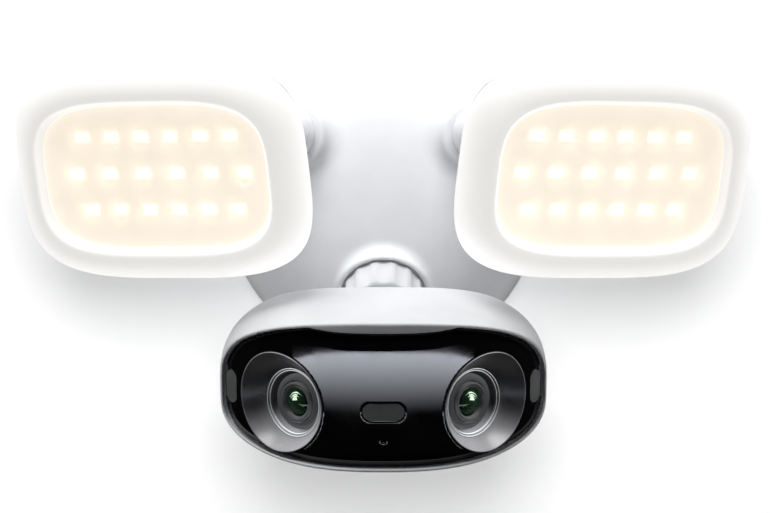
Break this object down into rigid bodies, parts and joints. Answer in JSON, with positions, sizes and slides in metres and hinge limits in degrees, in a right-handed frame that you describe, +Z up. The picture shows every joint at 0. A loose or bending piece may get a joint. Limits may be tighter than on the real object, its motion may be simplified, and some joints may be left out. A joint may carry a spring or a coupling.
{
  "type": "floodlight security camera",
  "caption": "Wall-mounted floodlight camera: a round domed base carries LED lamp heads on swivel arms and, on a ball joint below, a wide black-faced camera head.",
  "frame": {"origin": "centre of the base's back face, on the wall plane", "axes": "+Y into the wall, -Y out towards the viewer, +X to the right seen from the front, +Z up"},
  "size_m": [0.3266, 0.1476, 0.1939],
  "materials": {
    "white_shell": "satin moulded white, very fine texture",
    "grey_plastic": "satin moulded grey",
    "black_gloss": "polished black panel",
    "dish_black": "fine matte texture",
    "lens_metal": "dark anodised, turned",
    "lens_glass": "green coated lens",
    "clear_window": "clear polished",
    "lamp_rim": "translucent milky white",
    "lamp_glow": "milky lit window",
    "reflector": "bright white reflector and board",
    "warm_led": "warm white light source",
    "steel": "zinc plated",
    "rubber": "matt",
    "circuit_board": "solder mask",
    "power_component": "wound and potted parts",
    "connector_plastic": "moulded",
    "heat_metal": "bright",
    "emitter": "epoxy",
    "black_plastic": "moulded"
  },
  "bodies": {
    "base": {"wall_gasket": "rubber", "wall_bracket": "steel", "base_back_plate": "grey_plastic", "base_seal": "rubber", "base_housing": "white_shell", "base_screws": "steel", "bracket_screws": "steel", "cable_gland": "rubber", "power_board": "circuit_board", "power_parts": "power_component", "terminal_block": "connector_plastic", "wifi_antenna": "circuit_board"},
    "lock_collar": {"lock_collar": "white_shell"},
    "ball_seat": {"ball_seat": "grey_plastic"},
    "ball_stud": {"ball_stud": "grey_plastic"},
    "camera_head": {"head_shell": "white_shell", "face_panel": "black_gloss", "face_seal": "rubber", "lens_dish_left": "dish_black", "lens_dish_right": "dish_black", "lens_barrel_left": "dish_black", "lens_barrel_right": "dish_black", "lens_ring_left": "lens_metal", "lens_ring_right": "lens_metal", "lens_glass_left": "lens_glass", "lens_glass_right": "lens_glass", "sensor_boards": "circuit_board", "main_board": "circuit_board", "heat_spreader": "heat_metal", "spotlight_window": "clear_window", "spotlight_lamp": "heat_metal", "ir_window_left": "clear_window", "ir_window_right": "clear_window", "ir_emitters": "emitter", "speaker": "black_plastic", "microphone": "black_plastic", "memory_card": "black_plastic", "head_screws": "steel"},
    "card_cover": {"card_cover": "white_shell"},
    "reset_button": {"reset_button": "grey_plastic"},
    "arm_left": {"arm_left": "white_shell", "arm_seal_left": "rubber"},
    "lamp_left": {"lamp_housing_left": "white_shell", "lamp_bezel_left": "lamp_rim", "lamp_window_left": "lamp_glow", "lamp_reflector_left": "reflector", "led_board_left": "reflector", "lamp_leds_left": "warm_led", "lamp_pin_left": "steel", "lamp_screws_left": "steel"},
    "arm_right": {"arm_right": "white_shell", "arm_seal_right": "rubber"},
    "lamp_right": {"lamp_housing_right": "white_shell", "lamp_bezel_right": "lamp_rim", "lamp_window_right": "lamp_glow", "lamp_reflector_right": "reflector", "led_board_right": "reflector", "lamp_leds_right": "warm_led", "lamp_pin_right": "steel", "lamp_screws_right": "steel"}
  },
  "joints": [
    {"name": "collar_turn", "type": "hinge", "parent": "base", "child": "lock_collar", "pos_m": [0, -0.045, -0.0438], "axis": [0, -0.8192, -0.5736], "range_deg": [0, 60]},
    {"name": "head_pan", "type": "hinge", "parent": "base", "child": "ball_seat", "pos_m": [0, -0.05442, -0.0504], "axis": [0, 0, 1], "range_deg": [-30, 30]},
    {"name": "head_tilt", "type": "hinge", "parent": "ball_seat", "child": "ball_stud", "pos_m": [0, -0.05442, -0.0504], "axis": [1, 0, 0], "range_deg": [-6, 35]},
    {"name": "head_roll", "type": "hinge", "parent": "ball_stud", "child": "camera_head", "pos_m": [0, -0.05442, -0.0504], "axis": [0, -0.9511, -0.309], "range_deg": [-10, 10]},
    {"name": "reset_press", "type": "slide", "parent": "camera_head", "child": "reset_button", "axis": [0, -0.309, 0.9511], "range_m": [0, 0.0008], "stiffness_N_per_m": 250, "springref_m": -0.002},
    {"name": "card_cover_open", "type": "hinge", "parent": "camera_head", "child": "card_cover", "pos_m": [0, -0.08275, -0.10366], "axis": [1, 0, 0], "range_deg": [0, 100]},
    {"name": "arm_swivel_left", "type": "hinge", "parent": "base", "child": "arm_left", "pos_m": [-0.041, -0.05, 0.03], "axis": [0.342, 0.9397, 0], "range_deg": [-8, 25]},
    {"name": "lamp_turn_left", "type": "hinge", "parent": "arm_left", "child": "lamp_left", "pos_m": [-0.08854, -0.07776, 0.02003], "axis": [0.1057, 0.2904, -0.9511], "range_deg": [-20, 25]},
    {"name": "arm_swivel_right", "type": "hinge", "parent": "base", "child": "arm_right", "pos_m": [0.041, -0.05, 0.03], "axis": [0.342, -0.9397, 0], "range_deg": [-8, 25]},
    {"name": "lamp_turn_right", "type": "hinge", "parent": "arm_right", "child": "lamp_right", "pos_m": [0.08854, -0.07776, 0.02003], "axis": [0.1057, -0.2904, 0.9511], "range_deg": [-20, 25]}
  ]
}
